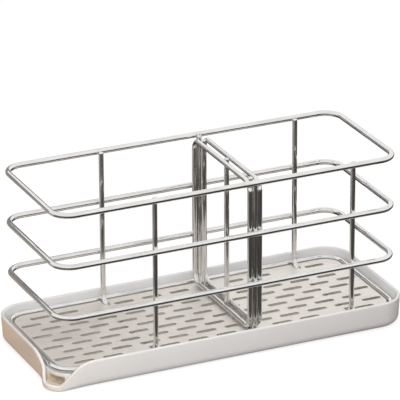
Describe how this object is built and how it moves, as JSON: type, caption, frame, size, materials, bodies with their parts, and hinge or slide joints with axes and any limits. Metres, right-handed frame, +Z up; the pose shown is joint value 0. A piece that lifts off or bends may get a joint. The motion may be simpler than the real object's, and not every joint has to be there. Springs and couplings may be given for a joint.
{
  "type": "sink caddy",
  "caption": "Stainless wire sink caddy with a lift-out divider and a slotted drain plate, standing in a white drip tray with a pouring corner.",
  "frame": {"origin": "middle of the drip tray's underside, on the surface that it stands on", "axes": "+X along the length to the right, +Y to the back, +Z up; the pouring corner is at -X -Y"},
  "size_m": [0.218, 0.0904, 0.1031],
  "materials": {
    "polished_wire": "polished stainless steel wire",
    "plate_steel": "satin stainless steel sheet",
    "tray_plastic": "white, smooth"
  },
  "bodies": {
    "tray": {"drip_tray": "tray_plastic"},
    "rack": {"top_ring": "polished_wire", "middle_ring": "polished_wire", "bottom_ring": "polished_wire", "base_ring": "polished_wire", "left_upright": "polished_wire", "centre_upright": "polished_wire", "right_upright": "polished_wire", "drain_plate": "plate_steel"},
    "divider": {"divider_left_frame": "polished_wire", "divider_right_frame": "polished_wire", "divider_front_bar": "polished_wire", "divider_middle_bar": "polished_wire", "divider_back_bar": "polished_wire"}
  },
  "joints": [
    {"name": "rack_lift", "type": "slide", "parent": "tray", "child": "rack", "axis": [0, 0, 1], "range_m": [0, 0.04]},
    {"name": "divider_lift", "type": "slide", "parent": "rack", "child": "divider", "axis": [0, 0, 1], "range_m": [0, 0.1]}
  ]
}
